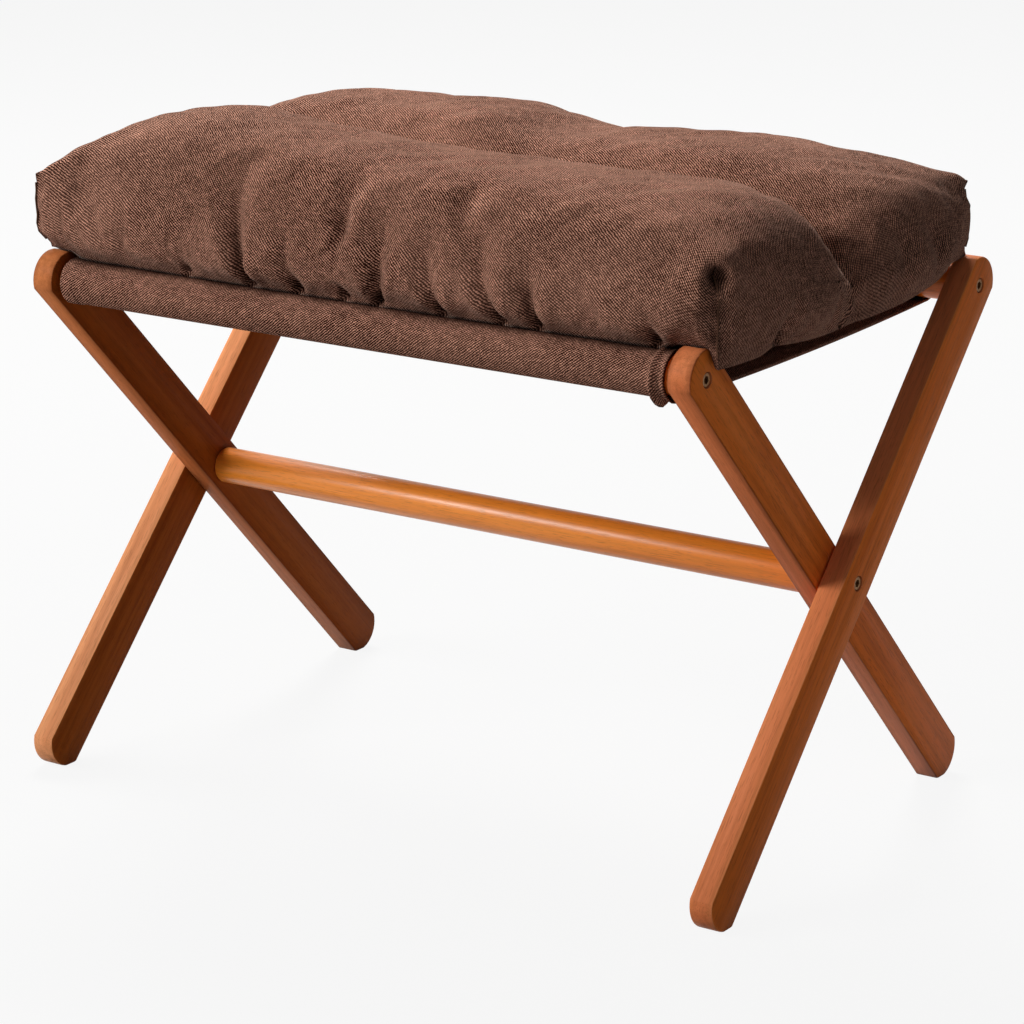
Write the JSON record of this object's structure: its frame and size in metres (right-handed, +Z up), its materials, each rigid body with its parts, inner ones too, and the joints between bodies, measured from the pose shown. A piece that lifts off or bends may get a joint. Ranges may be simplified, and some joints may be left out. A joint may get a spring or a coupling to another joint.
{
  "type": "folding stool",
  "caption": "Folding stool with crossed flat wooden legs, round rails, a cloth sling and a soft cushion with a channel; it folds about the stretcher's axis.",
  "frame": {"origin": "on the floor under the pivot axis, midway along the rails", "axes": "+X along the rails to the sitter's right as seen from the front, +Y to the back, +Z up"},
  "size_m": [0.6084, 0.3754, 0.4929],
  "materials": {
    "wood": "reddish brown stain under satin lacquer",
    "bolt_steel": "dark bronze plated steel",
    "insert_brass": "plain brass",
    "washer_nylon": "natural nylon",
    "sling_cloth": "brown woven cloth",
    "cushion_cloth": "heathered brown woven cloth over a soft fill"
  },
  "bodies": {
    "inner_frame": {"inner_leg_left": "wood", "inner_leg_right": "wood", "front_rail": "wood", "stretcher": "wood", "front_rail_bolt_left": "bolt_steel", "front_rail_bolt_right": "bolt_steel", "pivot_bolt_left": "bolt_steel", "pivot_bolt_right": "bolt_steel", "front_rail_insert_left": "insert_brass", "front_rail_insert_right": "insert_brass", "stretcher_insert_left": "insert_brass", "stretcher_insert_right": "insert_brass", "pivot_washer_left": "washer_nylon", "pivot_washer_right": "washer_nylon", "sling": "sling_cloth", "cushion": "cushion_cloth"},
    "outer_frame": {"outer_leg_left": "wood", "outer_leg_right": "wood", "rear_rail": "wood", "rear_rail_bolt_left": "bolt_steel", "rear_rail_bolt_right": "bolt_steel", "rear_rail_insert_left": "insert_brass", "rear_rail_insert_right": "insert_brass"}
  },
  "joints": [
    {"name": "fold", "type": "hinge", "parent": "inner_frame", "child": "outer_frame", "pos_m": [0, 0, 0.19627], "axis": [1, 0, 0], "range_deg": [0, 60], "deforming": ["sling", "cushion"]}
  ]
}
